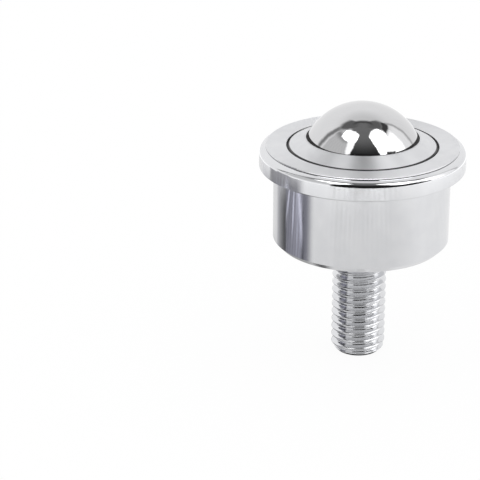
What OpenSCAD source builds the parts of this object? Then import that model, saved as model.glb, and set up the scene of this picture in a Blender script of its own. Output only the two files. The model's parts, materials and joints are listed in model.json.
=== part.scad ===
// Ball transfer unit: a load ball that rolls any way on a bed of small balls, held in a turned
// housing with a flange and a stud. The stud's thread is left plain, at its crest diameter.
// Millimetres. The origin is the centre of the base face that seats on the plate; +Z points to the
// load ball, and the stud hangs below.

/* [Balls] */
// Diameter of the load ball, 7/8 inch
ball_d = 22.225; // [18:0.005:26]
// Diameter of one bearing ball, 3/32 inch
bearing_d = 2.381; // [2:0.001:3]
// Radial play on each side of the bearing balls
race_play = 0.04; // [0.02:0.01:0.1]
// Least space between neighbouring bearing balls
row_play = 0.03; // [0.01:0.01:0.2]
// Angle of the uppermost row of bearing balls, from straight down
top_row_angle = 79.5; // [70:0.5:82]

/* [Body] */
// Wall of the body beside the race
body_wall = 2.42; // [1.5:0.01:6]
// Floor under the race, on the axis
floor_t = 1.55; // [1:0.05:6]
// Chamfer round the base face
base_chamfer = 1; // [0.2:0.1:1.8]

/* [Flange] */
// How far the flange stands out from the body
flange_overhang = 2.6; // [1.8:0.1:10]
// Thickness of the flange, from the top face inside the rim's shoulder
flange_t = 3.95; // [3:0.05:8]
// Height of the flange's top face over the centre of the load ball
flange_rise = 3.35; // [3:0.05:4.5]
// Width of the shoulder that runs round the top face, with the rounding in it
shoulder_w = 1.2; // [1:0.1:2]
// Step from the top face down to the shoulder
shoulder_step = 0.35; // [0.1:0.05:0.5]
// Slope of the shoulder
shoulder_angle = 20; // [5:1:30]
// Rounding of the rim's upper edge
rim_top_r = 0.9; // [0.3:0.1:1]
// Rounding of the rim's lower edge
rim_low_r = 0.25; // [0.05:0.05:0.6]
// Width of the seating land under the flange
land_w = 1.3; // [0.4:0.1:2.1]
// Height of the seating land
land_h = 0.4; // [0.1:0.1:1.5]

/* [Cap ring] */
// Depth from the flange's top face to the ledge that the cap ring sits on
cap_depth = 3; // [2.5:0.1:3.5]
// Width of the ledge
ledge_w = 0.15; // [0.1:0.05:1]
// Radial clearance of the cap ring in its bore
cap_fit = 0.01; // [0.005:0.005:0.03]
// Width of the fine groove between the ring and its bore
groove_w = 0.25; // [0.05:0.05:0.4]
// Depth of the groove
groove_depth = 0.6; // [0.4:0.1:1.2]
// Chamfer on the ring beside the groove
cap_chamfer = 0.2; // [0.05:0.05:0.3]
// How far the lip stands above the flange's top face
lip_rise = 1.45; // [0.4:0.05:2.5]
// Width of the flat on top of the lip
lip_land = 0.3; // [0.1:0.05:0.8]
// Play between the lip and the load ball
lip_play = 0.15; // [0.08:0.01:0.4]

/* [Felt seal] */
// Height of the felt and of its pocket
felt_h = 2; // [0.8:0.1:2.6]
// Wall of the cap ring round the pocket
cap_wall = 1.25; // [0.8:0.05:1.8]
// Play between the felt and the load ball
felt_play = 0.1; // [0.05:0.01:0.3]

/* [Stud] */
// Thread diameter over the crests, M10
stud_d = 10; // [6:1:16]
// Length of the stud below the base face
stud_len = 21.8; // [10:0.1:80]
// Chamfer at the stud's end
stud_chamfer = 1.25; // [0.5:0.05:2]
// Length of the thread relief at the stud's root
relief_len = 2.5; // [2:0.1:5]
// Depth of the relief, just past the thread's root
relief_depth = 1; // [0.6:0.05:1.3]
// Fillet between the relief and the base face
relief_fillet = 0.6; // [0.1:0.05:0.8]

/* [Hidden] */

$fn = 96;
bearing_fn = 24;    // sides of a bearing ball
edge_steps = 6;     // segments in a rounded edge
cut_over = 1;       // how far a cut runs past the face it opens
single_rows = 5;    // rows with a node each; the rows above share one

// Radii
ball_r = ball_d / 2;
bed_r = ball_r + race_play + bearing_d / 2;         // sphere through the bearing balls' centres
race_r = ball_r + bearing_d + 2 * race_play;
body_r = race_r + body_wall;
flange_r = body_r + flange_overhang;
land_r = body_r + land_w;
bore_r = race_r + ledge_w;
cap_r = bore_r - cap_fit;
groove_r = cap_r - groove_w;
felt_r = cap_r - cap_wall;
lip_bore_r = ball_r + lip_play;                     // sphere that clears the ball inside the lip
stud_r = stud_d / 2;
relief_r = stud_r - relief_depth;

// Heights
ball_z = floor_t + race_r;
flange_top = ball_z + flange_rise;
flange_z = flange_top - flange_t;
land_z = flange_z - land_h;
rim_tangent = 90 - shoulder_angle;                  // where the rounding meets the shoulder
shoulder_run = shoulder_w - rim_top_r * (1 - cos(rim_tangent));
rim_arc_z = flange_top - shoulder_step - shoulder_run * tan(shoulder_angle)
    - rim_top_r * sin(rim_tangent);
ledge_z = flange_top - cap_depth;
lip_z = flange_top + lip_rise;
lip_r = sqrt(lip_bore_r * lip_bore_r - (lip_z - ball_z) * (lip_z - ball_z));

// Rows of bearing balls: as many as fit between straight down and top_row_angle
ball_pitch = bearing_d + row_play;
row_gaps = floor(top_row_angle / (2 * asin(ball_pitch / (2 * bed_r))));
row_step = top_row_angle / row_gaps;

// Points on an arc of radius r about [cx, cz], from angle a0 to a1
function arc(cx, cz, r, a0, a1) =
    [for (i = [0 : edge_steps])
        let (a = a0 + (a1 - a0) * i / edge_steps)
        [cx + r * cos(a), cz + r * sin(a)]];

// Bearing balls that fit round the row at this polar angle
function row_count(polar) =
    polar == 0 ? 1 : floor(180 / asin(ball_pitch / (2 * bed_r * sin(polar))));

// Half section of the housing's outside: stud, base, body, seating land and flange
function housing_outline() = concat(
    [[0, -stud_len],
     [stud_r - stud_chamfer, -stud_len],
     [stud_r, stud_chamfer - stud_len],
     [stud_r, -relief_len],
     [relief_r, relief_depth - relief_len]],
    arc(relief_r + relief_fillet, -relief_fillet, relief_fillet, 180, 90),
    [[body_r - base_chamfer, 0],
     [body_r, base_chamfer],
     [body_r, land_z],
     [land_r, land_z],
     [land_r, flange_z]],
    arc(flange_r - rim_low_r, flange_z + rim_low_r, rim_low_r, -90, 0),
    arc(flange_r - rim_top_r, rim_arc_z, rim_top_r, 0, rim_tangent),
    [[flange_r - shoulder_w, flange_top - shoulder_step],
     [flange_r - shoulder_w, flange_top],
     [0, flange_top]]);

// Turned from one bar: the bore ends in the race that the bearing balls run in
module housing() {
    color("gainsboro")
    difference() {
        rotate_extrude() polygon(housing_outline());
        translate([0, 0, ball_z]) sphere(race_r);
        translate([0, 0, ball_z]) cylinder(r = race_r, h = flange_rise + cut_over);
        translate([0, 0, ledge_z]) cylinder(r = bore_r, h = cap_depth + cut_over);
    }
}

// Turned ring on the ledge: flush with the flange at the fine groove, then a cone up to the lip
module cap_ring() {
    color("lightgray")
    difference() {
        rotate_extrude() polygon([
            [0, ledge_z],
            [cap_r, ledge_z],
            [cap_r, flange_top - groove_depth],
            [groove_r, flange_top - groove_depth],
            [groove_r, flange_top - cap_chamfer],
            [groove_r - cap_chamfer, flange_top],
            [lip_r + lip_land, lip_z],
            [0, lip_z]]);
        translate([0, 0, ball_z]) sphere(lip_bore_r);
        translate([0, 0, ledge_z - cut_over]) cylinder(r = felt_r, h = felt_h + cut_over);
    }
}

// Felt wiper in the pocket under the cap ring
module felt_seal() {
    color("dimgray")
    difference() {
        translate([0, 0, ledge_z]) cylinder(r = felt_r, h = felt_h);
        translate([0, 0, ball_z]) sphere(ball_r + felt_play);
    }
}

// The ball that carries the load
module load_ball() {
    color("silver")
    translate([0, 0, ball_z]) sphere(ball_r);
}

// One row of bearing balls on the race; row 0 is the single ball at the bottom
module bearing_row(row) {
    polar = row * row_step;
    count = row_count(polar);
    color("slategray")
    for (i = [0 : count - 1])
        translate([0, 0, ball_z])
            rotate([0, 180 - polar, 360 * i / count])
                translate([0, 0, bed_r])
                    sphere(bearing_d / 2, $fn = bearing_fn);
}

// The rows above the single ones
module bearing_rows_top() {
    for (row = [single_rows : row_gaps]) bearing_row(row);
}

housing();
cap_ring();
felt_seal();
load_ball();
bearing_row(0);  // bearing_row_1
bearing_row(1);  // bearing_row_2
bearing_row(2);  // bearing_row_3
bearing_row(3);  // bearing_row_4
bearing_row(4);  // bearing_row_5
bearing_rows_top();
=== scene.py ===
"""Looks of the ball transfer unit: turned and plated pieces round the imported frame, in metres."""

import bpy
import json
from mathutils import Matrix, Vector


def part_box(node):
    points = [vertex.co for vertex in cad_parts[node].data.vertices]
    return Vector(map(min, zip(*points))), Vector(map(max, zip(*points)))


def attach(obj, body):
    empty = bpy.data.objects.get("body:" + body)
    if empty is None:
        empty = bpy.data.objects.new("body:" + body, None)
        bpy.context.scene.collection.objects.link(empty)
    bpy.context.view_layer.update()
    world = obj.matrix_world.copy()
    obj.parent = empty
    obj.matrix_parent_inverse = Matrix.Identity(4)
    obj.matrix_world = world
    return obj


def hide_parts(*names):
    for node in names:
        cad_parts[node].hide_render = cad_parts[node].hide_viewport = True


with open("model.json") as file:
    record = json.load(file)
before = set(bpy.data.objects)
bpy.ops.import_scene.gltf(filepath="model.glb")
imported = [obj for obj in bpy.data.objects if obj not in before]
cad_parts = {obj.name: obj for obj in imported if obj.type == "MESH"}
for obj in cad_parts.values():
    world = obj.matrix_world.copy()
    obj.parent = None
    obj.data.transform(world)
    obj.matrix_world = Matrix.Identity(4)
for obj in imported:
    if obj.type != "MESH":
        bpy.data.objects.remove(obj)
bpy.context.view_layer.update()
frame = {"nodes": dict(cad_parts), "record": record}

import json
import bpy
import numpy as np
from mathutils import Vector

# --- Camera -------------------------------------------------------------------------------------
# A long lens looks a little down on the unit, which stands upright on its stud's end, to the right
# of the middle of the view.

housing_low, housing_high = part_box("housing")
flange_top = float(housing_high[2])
floor_z = float(housing_low[2])
camera_lift = np.radians(19.42)        # how far the camera looks down on the unit
camera_distance = 0.342                # from the middle of the flange's top face
lens_mm = 142.44
sensor_mm = 36
aim = Vector((-0.02207, 0.0, -0.00067))
camera = bpy.data.objects.new("camera", bpy.data.cameras.new("camera"))
camera.data.sensor_width = sensor_mm
camera.data.lens = lens_mm
camera.location = (0,
                   -camera_distance * np.cos(camera_lift),
                   flange_top + camera_distance * np.sin(camera_lift))
camera.rotation_euler = (aim - camera.location).to_track_quat("-Z", "Y").to_euler()
bpy.context.scene.collection.objects.link(camera)
bpy.context.scene.camera = camera
bpy.context.scene.view_settings.view_transform = "Standard"

# --- White sheet, tent and lamps ----------------------------------------------------------------
# A sheet of white paper under a soft white tent, lit from all round. The tent's seams, lamps and
# camera gap, and what stands near the unit, are panels that show only in the metal's reflections.

MM = 0.001
TURN = 2 * np.pi


def plain_mesh(name, vertices, faces):
    """A mesh object from an (n, 3) array of points and a list or array of faces, at the origin."""
    mesh = bpy.data.meshes.new(name)
    mesh.from_pydata(np.asarray(vertices).tolist(), [], np.asarray(faces).tolist())
    mesh.update()
    thing = bpy.data.objects.new(name, mesh)
    bpy.context.scene.collection.objects.link(thing)
    return thing


def new_material(name):
    """An empty node material, with its node tree and output node."""
    material = bpy.data.materials.new(name)
    material.use_nodes = True
    tree = material.node_tree
    tree.nodes.clear()
    return material, tree, tree.nodes.new("ShaderNodeOutputMaterial")


def grid_faces(rows, columns):
    """Quads of a grid of points, rows by columns, as indices into its points row after row."""
    first = (np.arange(rows - 1)[:, None] * columns + np.arange(columns - 1)).ravel()
    return np.stack([first, first + 1, first + columns + 1, first + columns], axis=-1)


def glow_panel(name, points, tone, cover):
    """A lamp, wall or shade of the tent from a grid of points, (rows, columns, 3). Each point has
    its tone, a red, green and blue glow or one for all three, and its cover, from 0 for clear to 1
    for solid. A panel shows only in reflections: it casts no shadow, and lights no floor."""
    rows, columns = points.shape[:2]
    panel = plain_mesh(name, points.reshape(-1, 3), grid_faces(rows, columns))
    values = np.empty((rows, columns, 4))
    values[..., :3] = tone
    values[..., 3] = cover
    attribute = panel.data.attributes.new("tone", "FLOAT_COLOR", "POINT")
    attribute.data.foreach_set("color", values.ravel())
    material, tree, output = new_material(name)
    read = tree.nodes.new("ShaderNodeAttribute")
    read.attribute_name = "tone"
    light = tree.nodes.new("ShaderNodeEmission")
    clear = tree.nodes.new("ShaderNodeBsdfTransparent")
    blend = tree.nodes.new("ShaderNodeMixShader")
    tree.links.new(read.outputs["Color"], light.inputs["Color"])
    tree.links.new(read.outputs["Alpha"], blend.inputs["Fac"])
    tree.links.new(clear.outputs[0], blend.inputs[1])
    tree.links.new(light.outputs[0], blend.inputs[2])
    tree.links.new(blend.outputs[0], output.inputs["Surface"])
    panel.data.materials.append(material)
    panel.visible_camera = False
    panel.visible_diffuse = False
    panel.visible_shadow = False


def ramp(value, low, high):
    """Smooth step: 0 at low, 1 at high, and a cubic ease between them, for low above high too."""
    t = np.clip((value - low) / (high - low), 0, 1)
    return t * t * (3 - 2 * t)


def ridge(value, middle, width):
    """Bell curve: 1 where value is at the middle, and 1/e a width away from it."""
    return np.exp(-((value - middle) / width) ** 2)


def laid_over(below, above, cover):
    """The tone below with the tone above laid over it, for a cover from 0, clear, to 1, solid."""
    return below + (above - below) * cover


def patch_cover(azimuth, elevation, soft, corners):
    """How much of a direction a convex patch covers, from 0 outside to 1 inside. The corners are
    (azimuth, elevation) in degrees, anticlockwise. The measure is the least distance inwards from
    the patch's edges, eased over soft degrees on either side of the edge."""
    inside = np.inf
    for (a0, e0), (a1, e1) in zip(corners, corners[1:] + corners[:1]):
        across = (a1 - a0) * (elevation - e0) - (e1 - e0) * (azimuth - a0)
        inside = np.minimum(inside, across / np.hypot(a1 - a0, e1 - e0))
    return ramp(inside, -soft, soft)


# The tent above the sheet, as tones on a dome about the load ball. Azimuth 0 faces the camera and
# grows to the right. Its cloth sags a little, so its patches are laid on wavy directions. Each is
# laid over those before it: what it is, its tone, its softness in degrees, and its corners.
tent_r = 0.62
white_cloth = 0.97
ceiling_tone = 0.19
tent_patches = (
    ("left corner", 0.14, 5.0,
     [(-116, 58), (-90, 50), (-84, 64), (-55, 82), (-142, 82), (-134, 66)]),
    ("right corner", 0.14, 5.0, [(94, 60), (124, 60), (136, 66), (146, 82), (70, 82)]),
    ("right corner's depth", 0.06, 1.5, [(86, 54), (122, 51), (124, 62), (93, 62)]),
    ("left seam", 0.25, 4.0, [(-105, 14), (-97, 14), (-93, 56), (-107, 56)]),
    ("right seam", 0.45, 3.0, [(118, 2), (123, 2), (126, 54), (119, 54)]),
    ("left wall", 0.64, 2.5, [(-92, 8), (-28, 8), (-22, 53), (-90, 52)]),
    ("left wall's top", 0.30, 5.0, [(-90, 49), (-45, 49), (-45, 60), (-90, 57)]),
    ("left lamp", 3.00, 1.5,
     [(-71, 53), (-28, 51), (-18, 58), (-16, 70), (-45, 73), (-70, 69), (-80, 64)]),
    ("left lamp's foot", 1.50, 3.0, [(-36, 26), (-27, 26), (-21, 54), (-44, 54)]),
    ("right wall", 1.90, 6.0, [(60, 2), (101, 2), (101, 48), (60, 50)]),
    ("right wall's edge", 1.05, 5.0, [(98, 2), (118, 2), (119, 48), (100, 48)]),
    ("right lamp", 2.60, 2.0,
     [(38, 24), (80, 20), (85, 55), (92, 62), (87, 69), (68, 73), (38, 73), (25, 66)]),
    ("lamp stand", 0.08, 1.2, [(50, 26), (70, 19), (74, 25), (55, 31)]),
    ("front ceiling", 0.18, 3.0, [(-17, 59), (26, 59), (40, 71), (60, 77), (-60, 77), (-25, 71)]),
)
camera_gap = [(-30, 18), (45, 18), (31, 52), (24, 72), (-15, 72), (-21, 56)]
camera_gap_soft = 1.2

ball_z = float(sum(corner[2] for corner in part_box("load_ball")) / 2)
ball_centre = np.array([0, 0, ball_z])
azimuth, elevation = np.meshgrid(np.linspace(-180, 180, 289), np.linspace(-4, 90, 95))
wavy_az = azimuth + 0.5 * np.sin(0.4 * elevation) + 0.3 * np.sin(1.1 * elevation + 1)
wavy_el = elevation + 0.3 * np.sin(0.31 * azimuth) + 0.2 * np.sin(0.83 * azimuth + 2)
behind = ramp(np.abs(azimuth), 95, 180)
upper_shade = 0.22 * ramp(elevation, 42, 72)
right_shade = 0.05 * ramp(azimuth, 0, 60) * ramp(azimuth, 175, 120)
ceiling_edge = 69 + 6 * behind         # the elevation where the ceiling starts
tone = white_cloth - upper_shade - right_shade
tone = laid_over(tone, ceiling_tone, ramp(elevation, ceiling_edge, ceiling_edge + 5))
for _, level, soft, corners in tent_patches:
    tone = laid_over(tone, level, patch_cover(wavy_az, wavy_el, soft, corners))
gap_tone = 0.026 + 0.155 * ramp(elevation, 30, 68)
tone = laid_over(tone, gap_tone, patch_cover(wavy_az, wavy_el, camera_gap_soft, camera_gap))
ceiling_seam = ridge(elevation, ceiling_edge + 6.5, 2.2) * ramp(np.abs(azimuth), 95, 135)
tone = laid_over(tone, 0.05, 0.85 * ceiling_seam)
cloth_folds = np.sin(0.9 * wavy_az) * np.sin(0.35 * wavy_el)
cloth_folds = cloth_folds * (1 - behind) * ramp(elevation, 75, 55)
tone = tone * (1 + 0.04 * cloth_folds)
mottle = np.sin(1.9 * azimuth + 2.1 * wavy_el) * np.sin(1.3 * elevation - 0.8 * wavy_az)
tone = tone * (1 + 0.45 * mottle * ramp(tone, 0.3, 0.1))
side, lift = np.radians(azimuth), np.radians(elevation)
dome = np.stack([np.sin(side) * np.cos(lift), -np.cos(side) * np.cos(lift), np.sin(lift)], axis=-1)
glow_panel("tent", ball_centre + tent_r * dome, tone[..., None], 1)

# The dark room in front of the sheet's edge, below the camera gap. across runs to the right and
# upward from the floor, both from 0 to 1.
room_left, room_right = -0.085, 0.62
room_y = -0.13
room_foot, room_top = floor_z - 1 * MM, 0.108
room_soft = 0.016
across, upward = np.meshgrid(np.linspace(0, 1, 65), np.linspace(0, 1, 13))
room = np.stack([room_left + across * (room_right - room_left),
                 room_y + 0 * across,
                 room_foot + upward * (room_top - room_foot)], axis=-1)
room_cover = ramp(np.minimum(across, 1 - across), 0, room_soft) * ramp(1 - upward, 0, room_soft)
glow_panel("dark_room", room, 0.012, room_cover)

# A second unit lies close on the left. The metal sees its flank as a violet grey patch with a
# sloping top, darkest at both ends and streaked with light, all in mm along y and z. The body sees
# the part that is called lower, and the rim sees the rest.
flank_x = -47
along, height = np.meshgrid(np.linspace(42, -42, 253), np.linspace(-22, 16, 115))
lower = ramp(height + 0.12 * np.maximum(along - 9, 0), 2.2, 1.0)
flank = 0.23 + 0.06 * ramp(along, 5, -14) + 0.04 * (1 - lower) + 0.13 * ramp(height, 3.4, 6.0)
flank = flank + 0.05 * np.sin(1.7 * along + 0.5 * height)
flank = flank + 0.03 * np.sin(3.1 * along - 0.4 * height)
far_end = 0.06 + 0.020 * (along - 8) + 0.25 * ramp(height, -6, -0.5)
near_end = 0.21
end_shadow = ridge(along, -18.2, 1.5) * ramp(height, -2.0, -5)
rim_line = ramp(along, -8, -13) * ramp(np.abs(height - 1.9), 1.1, 0.5)
flank = laid_over(flank, far_end, ramp(along, 5, 8) * lower)
flank = laid_over(flank, near_end, ramp(along, -16.3, -18.0))
flank = laid_over(flank, 0.04, end_shadow)
flank = laid_over(flank, 0.12, rim_line)
streaks = (       # place along, slant, width, brightness, lowest and highest height
    (4.3, -0.85, 0.80, 0.60, -7, 0),
    (-5.3, -0.10, 0.65, 0.75, -8, 0),
    (-15.0, 0.50, 0.90, 1.10, -11, 2),
    (-22.4, 1.60, 0.50, 1.00, 1, 2.4),
    (-10.5, 0.10, 0.80, 0.25, -12, 1),
    (0.8, 0.20, 0.60, 0.22, -4, 1),
)
for place, slant, width, bright, low, high in streaks:
    streak = ridge(along, place + slant * (height + 5), width)
    streak = streak * ramp(height, low - 2, low + 2) * ramp(height, high + 1, high - 1)
    flank = flank + bright * streak
flank_top = 6.9 + 0.104 * along + 7 * ramp(along, -1, -4) * ramp(along, -18, -15)
flank_cover = ramp(flank_top - height, -0.5, 0.5) * ramp(along, -34, -22)
flank_cover = flank_cover * (lower * ramp(along, 40, 28) + (1 - lower) * ramp(along, 12, 8))
violet = 0.04 + 0.14 * lower * ramp(along, 9, 4)
glow_panel("second_unit", MM * np.stack([flank_x + 0 * along, along, height], axis=-1),
           np.stack([flank, flank, flank * (1 + violet)], axis=-1), flank_cover)

# The sheet as the metal sees it: shaded under the unit, a little dim in front and full on the
# right, with faint creases that fan out in front. It runs from the stud's end out to sheet_end.
sheet_start, sheet_end = 0.003, 0.2
sheet_r = np.geomspace(sheet_start, sheet_end, 113)[:, None]
degrees = np.linspace(-180, 180, 361)[None, :]
sheet_az = np.radians(degrees)
sheet = np.stack(np.broadcast_arrays(sheet_r * np.sin(sheet_az), -sheet_r * np.cos(sheet_az),
                                     floor_z + 0.2 * MM), axis=-1)
front_glow = (0.55 + 1.2 * ramp(np.abs(degrees), 36, 8)) * ramp(sheet_r, 0.118, 0.124)
far_tone = 0.80 + 0.11 * ramp(degrees, 40, 80) + front_glow
left_shadow = ramp(degrees, -108, -98) * ramp(degrees, -54, -64)
back_shadow = ramp(degrees, -180, -165) * ramp(degrees, -102, -112) * ramp(sheet_r, 0.014, 0.018)
near_tone = 0.58 + 0.27 * ramp(np.abs(degrees + 10), 30, 60)
near_tone = near_tone - 0.80 * left_shadow - 0.45 * back_shadow
near_tone = laid_over(near_tone, 0.75, ramp(sheet_r, 0.012, 0.009))
contact_r = 0.0041 + 0.0004 * ramp(np.abs(degrees + 50), 60, 20)
near_tone = near_tone * (0.03 + 0.97 * ramp(sheet_r, contact_r, contact_r + 0.3 * MM))
sheet_tone = laid_over(near_tone, far_tone, ramp(sheet_r, 0.03, 0.07))
ripple = np.sin(0.55 * degrees + 260 * sheet_r) * ramp(sheet_r, 0.05, 0.09)
creases = np.sin(TURN * (np.abs(degrees + 2) / 5.5 + 9 * sheet_r))
creases = creases * ramp(np.abs(degrees), 50, 25) * ramp(sheet_r, 0.07, 0.1)
sheet_tone = sheet_tone * (1 + 0.025 * ripple) * (1 + 0.09 * creases)
glow_panel("sheet_tone", sheet, sheet_tone[..., None], ramp(sheet_end - sheet_r, 0, 0.03))

floor_reach = 4.0
floor_corners = [(-1, -1), (1, -1), (1, 1), (-1, 1)]
floor = plain_mesh("floor", [(x * floor_reach, y * floor_reach, floor_z) for x, y in floor_corners],
                   [(0, 1, 2, 3)])
white_sheet, tree, output = new_material("white_sheet")
paper = tree.nodes.new("ShaderNodeBsdfDiffuse")
paper.inputs["Color"].default_value = (1, 1, 1, 1)
fill = tree.nodes.new("ShaderNodeEmission")
fill.inputs["Color"].default_value = (1, 1, 1, 1)
blend = tree.nodes.new("ShaderNodeMixShader")
blend.inputs["Fac"].default_value = 0.93       # nearly all fill light, to keep the sheet white
tree.links.new(paper.outputs[0], blend.inputs[1])
tree.links.new(fill.outputs[0], blend.inputs[2])
tree.links.new(blend.outputs[0], output.inputs["Surface"])
floor.data.materials.append(white_sheet)

world = bpy.data.worlds.new("white_tent")
world.use_nodes = True
world.node_tree.nodes["Background"].inputs["Color"].default_value = (1, 1, 1, 1)
world.node_tree.nodes["Background"].inputs["Strength"].default_value = 1.0
bpy.context.scene.world = world

# --- Housing ------------------------------------------------------------------------------------
# Flange, body and M10 stud turned from one free-cutting steel bar, thread rolled, then bright zinc
# plated. The bore ends in the half-round race that the bearing balls run in.

mounts = {mount["name"]: mount for mount in frame["record"]["mounts"]}
ring_low, ring_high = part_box("cap_ring")

cap_fit = 0.01 * MM
ledge_w = 0.15 * MM
ledge_z = float(ring_low[2])
bore_r = float(ring_high[0]) + cap_fit
race_r = bore_r - ledge_w
bore_shine = 0.3 * MM                  # the bore's top, left plated; below it the groove's outer wall is painted dark as shade

body_r = mounts["body_spigot"]["dims"]["r_mm"] * MM
base_chamfer = 1.0 * MM
land_w = 1.3 * MM                      # the seating land under the flange
land_h = 0.4 * MM
land_r = body_r + land_w
land_z = mounts["flange_seat"]["pos_m"][2]
flange_z = land_z + land_h
flange_r = float(housing_high[0])
edge_r = 0.06 * MM                     # a broken edge, where the tool left a corner
shoulder_w = 1.2 * MM                  # the shoulder runs round the top face, a step below it
shoulder_step = 0.35 * MM
shoulder_angle = 20
shoulder_r = flange_r - shoulder_w
shoulder_z = flange_top - shoulder_step
step_shade_top = shoulder_z + 0.11 * MM       # painted shade in the corner of the step reaches up to here
rim_low_r = 0.25 * MM                  # rounding of the rim's lower edge
rim_shade = -60                        # degrees round it, where the painted shade on its lower rounding ends
rim_top_r = 0.9 * MM                   # rounding of its upper edge
rim_tangent = 90 - shoulder_angle      # degrees round it, where it meets the shoulder
rim_arc_r = flange_r - rim_top_r
rim_end_r = rim_arc_r + rim_top_r * np.cos(np.radians(rim_tangent))
rim_end_z = shoulder_z - (rim_end_r - shoulder_r) * np.tan(np.radians(shoulder_angle))
rim_arc_z = rim_end_z - rim_top_r * np.sin(np.radians(rim_tangent))

stud_r = mounts["stud"]["dims"]["r_mm"] * MM
stud_chamfer = 1.25 * MM
relief_len = 2.5 * MM
relief_depth = 1.0 * MM
relief_fillet = 0.6 * MM
relief_r = stud_r - relief_depth
relief_top = -relief_len + relief_depth
pitch = 1.5 * MM
thread_depth = 0.6134 * pitch          # of a 60 degree outside thread
crest_flat = pitch / 8
crest_round = 0.25 * MM                # how softly crest and root run into the flanks
around = 192                           # points round the axis


def line_run(start, end):
    """A straight stretch of a half section from start to end, both (radius, height): points, and
    the outward normal, which is the stretch's direction turned a quarter right."""
    along = np.subtract(end, start) / np.linalg.norm(np.subtract(end, start))
    return np.hstack([[start, end], np.tile([along[1], -along[0]], (2, 1))])


def arc_run(centre, radius, first, last, steps=8, hollow=False):
    """A round stretch of a half section about centre, from angle first to last in degrees. Its
    normal points away from the centre, or towards it where hollow."""
    a = np.radians(np.linspace(first, last, steps + 1))
    out = np.stack([np.cos(a), np.sin(a)], axis=-1)
    return np.hstack([np.array(centre) + radius * out, -out if hollow else out])


def spun(run, look):
    """A half-section run carried round the axis: arrays of points and normals, (steps, around, 3),
    with its material."""
    angle = TURN * np.arange(around) / around
    cos, sin = np.cos(angle), np.sin(angle)
    r, z, nr, nz = (run[:, k, None] for k in range(4))
    level = np.ones(around)
    points = np.stack([r * cos, r * sin, z * level], axis=-1)
    normals = np.stack([nr * cos, nr * sin, nz * level], axis=-1)
    return points, normals, look


def turned(name, runs, closed=False):
    """A turned piece from its runs, outside first, each from spun. Neighbouring runs share the
    ring where they meet, a closed piece ends on its first ring, and a ring on the axis is one
    point. Each face corner takes its run's own normal, so that a flat stays flat right up to a
    rounded edge."""
    looks = list(dict.fromkeys(look for _, _, look in runs))
    rings, ring_index, quads, corner_normals, look_of_quad = [], [], [], [], []
    count = 0
    for number, (points, normals, look) in enumerate(runs):
        for k, ring in enumerate(points):
            if k == 0 and number > 0:
                continue
            if closed and number == len(runs) - 1 and k == len(points) - 1:
                ring_index.append(ring_index[0])
            else:
                on_axis = np.all(np.hypot(ring[:, 0], ring[:, 1]) < 1e-9)
                rings.append(ring[:1] if on_axis else ring)
                ring_index.append(count + (np.zeros(around, int) if on_axis else np.arange(around)))
                count += len(rings[-1])
            if k > 0:
                low, high = ring_index[-2:]
                quads.append(np.stack([low, np.roll(low, -1), np.roll(high, -1), high], axis=-1))
                low, high = normals[k - 1], normals[k]
                corner_normals.append(
                    np.stack([low, np.roll(low, -1, 0), np.roll(high, -1, 0), high], axis=1))
                look_of_quad.append(np.full(around, looks.index(look)))
    quads = np.concatenate(quads)
    kept = quads != np.roll(quads, 1, axis=1)      # a quad at the axis drops its double corner
    corners = kept.sum(axis=1)
    mesh = bpy.data.meshes.new(name)
    mesh.vertices.add(count)
    mesh.vertices.foreach_set("co", np.concatenate(rings).ravel())
    mesh.loops.add(int(corners.sum()))
    mesh.loops.foreach_set("vertex_index", quads[kept])
    mesh.polygons.add(len(quads))
    mesh.polygons.foreach_set("loop_start", np.cumsum(corners) - corners)
    mesh.polygons.foreach_set("use_smooth", np.ones(len(quads), bool))
    for look in looks:
        mesh.materials.append(look)
    mesh.polygons.foreach_set("material_index", np.concatenate(look_of_quad))
    mesh.update(calc_edges=True)
    mesh.normals_split_custom_set(np.concatenate(corner_normals)[kept].tolist())
    mesh.update()
    piece = bpy.data.objects.new(name, mesh)
    bpy.context.scene.collection.objects.link(piece)
    return piece


def turning_lines(tree, spacing, strength, depth):
    """A bump of fine rings left by the turning tool: one-way noise along radius plus height, which
    makes rings on a flat face, a cone and a cylinder alike."""
    nodes, links = tree.nodes, tree.links
    place = nodes.new("ShaderNodeTexCoord")
    split = nodes.new("ShaderNodeSeparateXYZ")
    links.new(place.outputs["Object"], split.inputs[0])
    flat = nodes.new("ShaderNodeCombineXYZ")
    links.new(split.outputs["X"], flat.inputs["X"])
    links.new(split.outputs["Y"], flat.inputs["Y"])
    radius = nodes.new("ShaderNodeVectorMath")
    radius.operation = "LENGTH"
    links.new(flat.outputs[0], radius.inputs[0])
    along = nodes.new("ShaderNodeMath")
    along.operation = "ADD"
    links.new(radius.outputs["Value"], along.inputs[0])
    links.new(split.outputs["Z"], along.inputs[1])
    rings = nodes.new("ShaderNodeTexNoise")
    rings.noise_dimensions = "1D"
    rings.inputs["Scale"].default_value = 1 / spacing
    rings.inputs["Detail"].default_value = 2
    links.new(along.outputs[0], rings.inputs["W"])
    bump = nodes.new("ShaderNodeBump")
    bump.inputs["Strength"].default_value = strength
    bump.inputs["Distance"].default_value = depth
    links.new(rings.outputs[0], bump.inputs["Height"])
    return bump.outputs[0]


def cloudy(tree, size, low, high):
    """A soft three-way noise whose blotches are about size across, spread over low to high."""
    nodes, links = tree.nodes, tree.links
    place = nodes.new("ShaderNodeTexCoord")
    cloud = nodes.new("ShaderNodeTexNoise")
    cloud.inputs["Scale"].default_value = 1 / size
    cloud.inputs["Detail"].default_value = 3
    links.new(place.outputs["Object"], cloud.inputs["Vector"])
    spread = nodes.new("ShaderNodeMapRange")
    spread.inputs["From Min"].default_value = 0.3
    spread.inputs["From Max"].default_value = 0.7
    spread.inputs["To Min"].default_value = low
    spread.inputs["To Max"].default_value = high
    links.new(cloud.outputs[0], spread.inputs["Value"])
    return spread.outputs["Result"]


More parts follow.
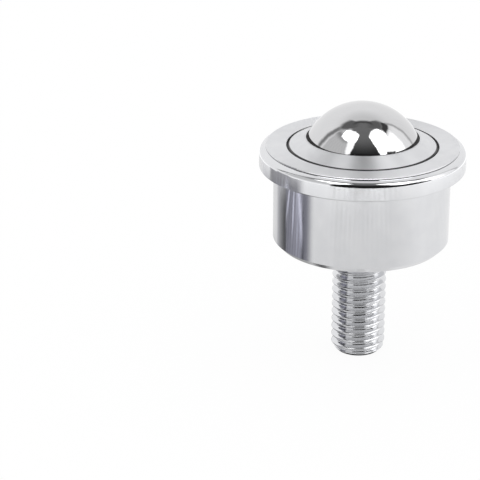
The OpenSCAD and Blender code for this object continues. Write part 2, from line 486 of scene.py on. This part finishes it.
def tinted(tree, share, first, second):
    """A colour between first and second, by a share from 0 to 1."""
    mix = tree.nodes.new("ShaderNodeMix")
    mix.data_type = "RGBA"
    mix.inputs["A"].default_value = (*first, 1)
    mix.inputs["B"].default_value = (*second, 1)
    tree.links.new(share, mix.inputs["Factor"])
    return mix.outputs["Result"]


def metal(name, colour, dull, roughness, stretch=0.0,
          line_spacing=0.12 * MM, line_strength=0.1, line_depth=0.01 * MM):
    """Plated, oiled or polished steel: its colour clouds a little towards dull, and its roughness
    varies by a tenth. Turning leaves rings that blur a reflection across them more than along them:
    stretch is how much more, from 0 to 1."""
    material, tree, output = new_material(name)
    shader = tree.nodes.new("ShaderNodeBsdfPrincipled")
    clouded = tinted(tree, cloudy(tree, 3 * MM, 0, 1), colour, dull)
    tree.links.new(clouded, shader.inputs["Base Color"])
    worn = cloudy(tree, 1.2 * MM, 0.9 * roughness, 1.1 * roughness)
    tree.links.new(worn, shader.inputs["Roughness"])
    shader.inputs["Metallic"].default_value = 1
    shader.inputs["Anisotropic"].default_value = stretch
    shader.inputs["Anisotropic Rotation"].default_value = 0.25
    round_axis = tree.nodes.new("ShaderNodeTangent")
    round_axis.direction_type = "RADIAL"
    round_axis.axis = "Z"
    tree.links.new(round_axis.outputs[0], shader.inputs["Tangent"])
    bump = turning_lines(tree, line_spacing, line_strength, line_depth)
    tree.links.new(bump, shader.inputs["Normal"])
    tree.links.new(shader.outputs[0], output.inputs["Surface"])
    return material


zinc = (0.785, 0.79, 0.805)
dull_zinc = (0.75, 0.755, 0.775)
zinc_plate = metal("zinc_plate", zinc, dull_zinc, 0.13, stretch=0.9)
satin_zinc = metal("satin_zinc", zinc, dull_zinc, 0.42, stretch=0.85, line_strength=0.2)
burnished_zinc = metal("burnished_zinc", zinc, dull_zinc, 0.09, stretch=0.6)
rolled_zinc = metal("rolled_zinc", zinc, dull_zinc, 0.12, stretch=0.4,
                    line_spacing=0.3 * MM, line_strength=1.0, line_depth=0.02 * MM)
# Near-black steel: oil in the hidden bore, ledge and race, and painted shade in the groove, beside
# it on the cone, in the corner of the step, on the rim's lower rounding and in the lip's bore.
oil_and_painted_shade = metal("oil_and_painted_shade", (0.04, 0.04, 0.045), (0.075, 0.072, 0.07), 0.35)


def stud_surface(steps_per_turn=26):
    """The stud from its end chamfer to its relief, on a grid of height and angle. The radius is the
    lesser of two: the turned blank, and a 60 degree thread whose depth depends only on how far a
    point is from the nearest crest, measured along the axis; the crest climbs one pitch a turn. The
    depth is kept from 0 to thread_depth by a hyperbola that rounds crest and root."""
    angle = TURN * np.arange(around) / around
    steps = int(round((relief_top - floor_z) / pitch * steps_per_turn))
    z = np.linspace(floor_z, relief_top, steps + 1)[:, None] * np.ones(around)
    from_crest = np.abs((z / pitch - angle / TURN + 0.5) % 1 - 0.5) * pitch
    down = (from_crest - crest_flat / 2) / np.tan(np.radians(30))
    down = (down + np.hypot(down, crest_round)) / 2
    thread = stud_r - (down + thread_depth - np.hypot(down - thread_depth, crest_round)) / 2
    blank = np.minimum(stud_r, stud_r - stud_chamfer + (z - floor_z))
    blank = np.minimum(blank, relief_r + (relief_top - z))
    r = np.minimum(thread, blank)
    points = np.stack([r * np.cos(angle), r * np.sin(angle), z], axis=-1)
    slope_z = np.gradient(r, axis=0) / np.gradient(z, axis=0)
    slope_a = (np.roll(r, -1, 1) - np.roll(r, 1, 1)) / (2 * TURN / around) / r
    normals = np.stack([np.cos(angle) + slope_a * np.sin(angle),
                        np.sin(angle) - slope_a * np.cos(angle),
                        -slope_z], axis=-1)
    return points, normals / np.linalg.norm(normals, axis=-1, keepdims=True), rolled_zinc


fillet_centre = (relief_r + relief_fillet, -relief_fillet)
rim_low_centre = (flange_r - rim_low_r, flange_z + rim_low_r)
housing = turned("housing_body", [
    spun(line_run((0, floor_z), (stud_r - stud_chamfer, floor_z)), zinc_plate),
    stud_surface(),
    spun(line_run((relief_r, relief_top), (relief_r, -relief_fillet)), zinc_plate),
    spun(arc_run(fillet_centre, relief_fillet, 180, 90, hollow=True), zinc_plate),
    spun(line_run((relief_r + relief_fillet, 0), (body_r - base_chamfer, 0)), zinc_plate),
    spun(line_run((body_r - base_chamfer, 0), (body_r, base_chamfer)), zinc_plate),
    spun(line_run((body_r, base_chamfer), (body_r, land_z)), zinc_plate),
    spun(line_run((body_r, land_z), (land_r, land_z)), zinc_plate),
    spun(line_run((land_r, land_z), (land_r, flange_z)), zinc_plate),
    spun(line_run((land_r, flange_z), (flange_r - rim_low_r, flange_z)), zinc_plate),
    # Painted shade: the rim's lower rounding is drawn in near-black steel up to rim_shade.
    spun(arc_run(rim_low_centre, rim_low_r, -90, rim_shade, steps=3), oil_and_painted_shade),
    spun(arc_run(rim_low_centre, rim_low_r, rim_shade, 0, steps=6), zinc_plate),
    spun(line_run((flange_r, flange_z + rim_low_r), (flange_r, rim_arc_z)), zinc_plate),
    spun(arc_run((rim_arc_r, rim_arc_z), rim_top_r, 0, rim_tangent, steps=12), burnished_zinc),
    spun(line_run((rim_end_r, rim_end_z), (shoulder_r, shoulder_z)), burnished_zinc),
    # Painted shade in the corner of the step, drawn as near-black steel.
    spun(line_run((shoulder_r, shoulder_z), (shoulder_r, step_shade_top)), oil_and_painted_shade),
    spun(line_run((shoulder_r, step_shade_top), (shoulder_r, flange_top - edge_r)), burnished_zinc),
    spun(arc_run((shoulder_r - edge_r, flange_top - edge_r), edge_r, 0, 90, steps=3), satin_zinc),
    spun(line_run((shoulder_r - edge_r, flange_top), (bore_r + edge_r, flange_top)), satin_zinc),
    spun(line_run((bore_r + edge_r, flange_top), (bore_r, flange_top - edge_r)), satin_zinc),
    spun(line_run((bore_r, flange_top - edge_r), (bore_r, flange_top - bore_shine)), satin_zinc),
    # Painted shade on the groove's outer wall; lower down the ring hides the oiled bore.
    spun(line_run((bore_r, flange_top - bore_shine), (bore_r, ledge_z)), oil_and_painted_shade),
    spun(line_run((bore_r, ledge_z), (race_r, ledge_z)), oil_and_painted_shade),
    spun(line_run((race_r, ledge_z), (race_r, ball_z)), oil_and_painted_shade),
    spun(arc_run((0, ball_z), race_r, 0, -90, steps=32, hollow=True), oil_and_painted_shade),
])
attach(housing, "housing_body")
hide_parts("housing")

# --- Bearing balls ------------------------------------------------------------------------------
# Hardened and polished steel balls, 3/32 inch, loose in the race in rows round the axis. The load
# ball rolls on them. They keep the frame's own meshes.

bearing_metal = metal("bearing_steel", (0.64, 0.64, 0.65), (0.56, 0.555, 0.55), 0.08,
                      line_strength=0.02)
for node, part in frame["nodes"].items():
    if node.startswith("bearing_row"):
        part.data.materials.clear()
        part.data.materials.append(bearing_metal)

# --- Load ball ----------------------------------------------------------------------------------
# One hardened chrome steel ball, 7/8 inch, ground and polished to a mirror. It lies on the bearing
# balls and turns freely.

ball_low, ball_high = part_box("load_ball")
ball_r = float(ball_high[2] - ball_low[2]) / 2
mirror_steel = metal("mirror_steel", (0.7, 0.7, 0.71), (0.68, 0.68, 0.69), 0.03,
                     line_strength=0.0)
ball_face = arc_run((0, ball_z), ball_r, -90, 90, steps=96)
ball = turned("polished_ball", [spun(ball_face, mirror_steel)])
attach(ball, "ball")
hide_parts("load_ball")

# --- Cap ring -----------------------------------------------------------------------------------
# A turned steel ring let into the flange, down to the ledge in its bore, and zinc plated. Its satin
# cone rises to the lip that holds the load ball in.

cap_r = float(ring_high[0])
groove_w = 0.25 * MM                   # the fine groove between the ring and its bore
groove_depth = 0.6 * MM
groove_r = cap_r - groove_w
groove_z = flange_top - groove_depth
cap_chamfer = 0.2 * MM
groove_shade_share = 0.03                      # of the cone, beside the groove, that is painted dark as shade
lip_play = 0.15 * MM
lip_land = 0.3 * MM
lip_z = float(ring_high[2])
lip_bore_r = ball_r + lip_play
lip_r = np.sqrt(lip_bore_r ** 2 - (lip_z - ball_z) ** 2)
felt_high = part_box("felt_seal")[1]
felt_r = float(felt_high[0])
felt_top = float(felt_high[2])
pocket_r = np.sqrt(lip_bore_r ** 2 - (felt_top - ball_z) ** 2)
lip_angle = np.degrees(np.arctan2(lip_z - ball_z, lip_r))
pocket_angle = np.degrees(np.arctan2(felt_top - ball_z, pocket_r))
cone_foot = np.array([groove_r - cap_chamfer, flange_top])
cone_head = np.array([lip_r + lip_land, lip_z])
groove_shade_end = cone_foot + groove_shade_share * (cone_head - cone_foot)
cap = turned("cap_ring_turned", [
    spun(line_run((felt_r, ledge_z), (cap_r, ledge_z)), satin_zinc),
    spun(line_run((cap_r, ledge_z), (cap_r, groove_z)), satin_zinc),
    # Painted shade: the groove's floor and wall, and the cone beside it, drawn in near-black steel.
    spun(line_run((cap_r, groove_z), (groove_r, groove_z)), oil_and_painted_shade),
    spun(line_run((groove_r, groove_z), (groove_r, flange_top - cap_chamfer)), oil_and_painted_shade),
    spun(line_run((groove_r, flange_top - cap_chamfer), cone_foot), oil_and_painted_shade),
    spun(line_run(cone_foot, groove_shade_end), oil_and_painted_shade),
    spun(line_run(groove_shade_end, cone_head), satin_zinc),
    spun(line_run(cone_head, (lip_r, lip_z)), satin_zinc),
    # Painted shade in the gap between the lip's bore and the load ball.
    spun(arc_run((0, ball_z), lip_bore_r, lip_angle, pocket_angle, hollow=True), oil_and_painted_shade),
    spun(line_run((pocket_r, felt_top), (felt_r, felt_top)), satin_zinc),
    spun(line_run((felt_r, felt_top), (felt_r, ledge_z)), satin_zinc),
], closed=True)
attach(cap, "housing_body")
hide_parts("cap_ring")

# --- Felt seal ----------------------------------------------------------------------------------
# A ring of pressed grey felt, dark with oil, in the pocket under the cap ring. Its thin edge stands
# up between the lip and the load ball and wipes the ball.

felt_edge = 0.03 * MM                  # how far the edge stands above the lip, at the least
felt_swell = 0.57 * MM                 # how much more it stands on two sides, where it was squeezed
felt_gap = 0.02 * MM                   # left to the lip's bore and to the ball
neck_r = lip_bore_r - felt_gap
wipe_r = ball_r + felt_gap
felt_cloth, tree, output = new_material("oiled_felt")
shader = tree.nodes.new("ShaderNodeBsdfPrincipled")
fibres = tinted(tree, cloudy(tree, 0.15 * MM, 0, 1),
                (0.004, 0.004, 0.004), (0.016, 0.015, 0.014))
tree.links.new(fibres, shader.inputs["Base Color"])
tree.links.new(cloudy(tree, 0.8 * MM, 0.75, 0.98), shader.inputs["Roughness"])
nap = tree.nodes.new("ShaderNodeBump")
nap.inputs["Strength"].default_value = 0.6
nap.inputs["Distance"].default_value = 0.05 * MM
tree.links.new(cloudy(tree, 0.08 * MM, 0, 1), nap.inputs["Height"])
tree.links.new(nap.outputs[0], shader.inputs["Normal"])
tree.links.new(shader.outputs[0], output.inputs["Surface"])


def on_sphere(radius, height):
    """The angle in degrees above the equator of a height on a sphere about the ball's centre: the
    arc sine of the height over the centre divided by the radius."""
    return np.degrees(np.arcsin((height - ball_z) / radius))


def wiper_face():
    """The face that wipes the ball: a band of a sphere from the felt's edge down to the ledge. The
    edge's height over the lip is felt_edge plus felt_swell times the fourth power of the angle's
    cosine."""
    angle = TURN * np.arange(around) / around
    edge = np.radians(on_sphere(wipe_r, lip_z + felt_edge + felt_swell * np.cos(angle) ** 4))
    t = np.linspace(0, 1, 9)[:, None]
    up = (1 - t) * edge + t * np.radians(on_sphere(wipe_r, ledge_z))
    out = np.stack([np.cos(up) * np.cos(angle), np.cos(up) * np.sin(angle), np.sin(up)], axis=-1)
    return ball_centre + wipe_r * out, -out, felt_cloth


def edge_slope(neck, wiper):
    """The narrow slope from the neck's last ring up to the wiper face's first. The normal is the
    cross product of the step round the ring and the step up."""
    points = np.stack([neck[0][-1], wiper[0][0]])
    rise = points[1] - points[0]
    normals = np.cross(np.roll(points[0], -1, 0) - np.roll(points[0], 1, 0), rise)
    normals = normals / np.linalg.norm(normals, axis=-1, keepdims=True)
    return points, np.stack([normals, normals]), felt_cloth


neck = spun(arc_run((0, ball_z), neck_r, pocket_angle, on_sphere(neck_r, lip_z)), felt_cloth)
wiper = wiper_face()
wipe_foot_r = wipe_r * np.cos(np.radians(on_sphere(wipe_r, ledge_z)))
felt = turned("felt_ring", [
    spun(line_run((wipe_foot_r, ledge_z), (felt_r, ledge_z)), felt_cloth),
    spun(line_run((felt_r, ledge_z), (felt_r, felt_top)), felt_cloth),
    spun(line_run((felt_r, felt_top), (pocket_r, felt_top)), felt_cloth),
    neck,
    edge_slope(neck, wiper),
    wiper,
], closed=True)
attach(felt, "housing_body")
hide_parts("felt_seal")
